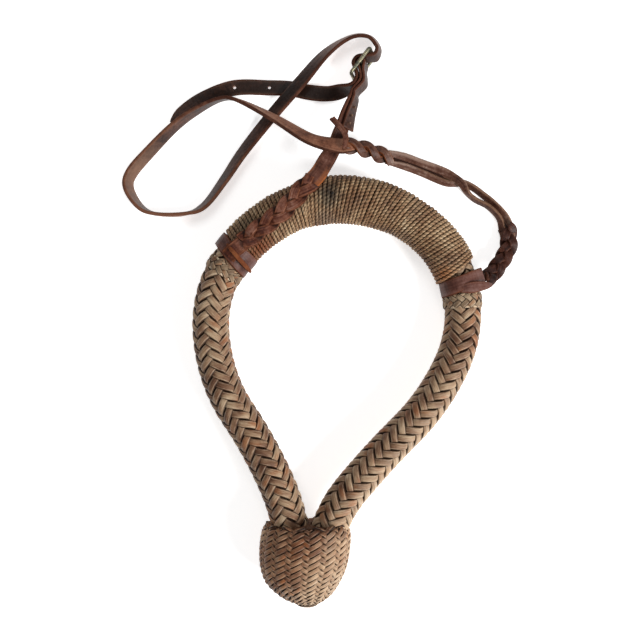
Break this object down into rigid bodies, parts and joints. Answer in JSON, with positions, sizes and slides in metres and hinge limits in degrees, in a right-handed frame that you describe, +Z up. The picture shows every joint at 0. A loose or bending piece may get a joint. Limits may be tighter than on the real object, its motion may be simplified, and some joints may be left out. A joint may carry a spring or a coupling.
{
  "type": "bosal noseband with hanger",
  "caption": "Braided rawhide bosal noseband with cord-wrapped nose, ring knots and heel knot, on a leather hanger strap with a small brass buckle; used to ride without a bit.",
  "frame": {"origin": "On the surface the noseband lies on, under the middle of the whole object.", "axes": "+Z up from the surface, +Y from the heel knot to the nose and on to the hanger, +X to the object's right as seen from above."},
  "size_m": [0.3114, 0.447, 0.054],
  "materials": {
    "rawhide_braid": "braided rawhide strands, tan to dark brown, worn satin",
    "rawhide_core": "rolled rawhide, inside only",
    "cord": "twisted rawhide cord, close wound",
    "leather": "dark brown oiled strap leather with worn edges",
    "lace": "light leather lace",
    "brass": "dulled brass with dark patina"
  },
  "bodies": {
    "noseband": {"left_shank_braid": "rawhide_braid", "right_shank_braid": "rawhide_braid", "nose_braid": "rawhide_braid", "left_collar": "rawhide_braid", "right_collar": "rawhide_braid", "heel_knot_cover": "rawhide_braid", "noseband_core": "rawhide_core", "heel_knot_foundation": "rawhide_core", "nose_wrap_base": "cord", "nose_wrap_top": "cord", "left_loop": "leather", "right_loop": "leather", "left_loop_neck": "leather"},
    "hanger": {"left_cheek_braid": "leather", "left_cheek_lower": "leather", "left_cheek_upper": "leather", "left_cheek_fold": "leather", "left_cheek_lap": "leather", "right_cheek_knot": "leather", "crown_strap_return": "leather", "crown_strap_left_loop": "leather", "crown_strap_run": "leather", "crown_strap_turn": "leather", "crown_strap_billet": "leather", "crown_strap_tail": "leather", "right_cheek_wide_strand": "leather", "right_cheek_narrow_strand": "leather", "right_cheek_twist": "leather", "right_cheek_fork_outer": "leather", "right_cheek_fork_inner": "leather", "right_cheek_braid": "leather", "right_cheek_tie": "leather", "lap_lacing": "lace"},
    "buckle": {"buckle_frame": "brass"},
    "tongue": {"buckle_tongue": "brass"}
  },
  "joints": [
    {"name": "hanger_swing", "type": "hinge", "parent": "noseband", "child": "hanger", "pos_m": [-0.068, 0.0454, 0.019], "axis": [0.9927, -0.1205, 0], "range_deg": [0, 90]},
    {"name": "buckle_rock", "type": "hinge", "parent": "hanger", "child": "buckle", "pos_m": [0.0342, 0.1973, 0.0098], "axis": [-0.2736, 0.2052, 0.9397], "range_deg": [-2, 2]},
    {"name": "tongue_lift", "type": "hinge", "parent": "buckle", "child": "tongue", "pos_m": [0.0342, 0.1973, 0.0098], "axis": [-0.2736, 0.2052, 0.9397], "range_deg": [0, 15]}
  ]
}
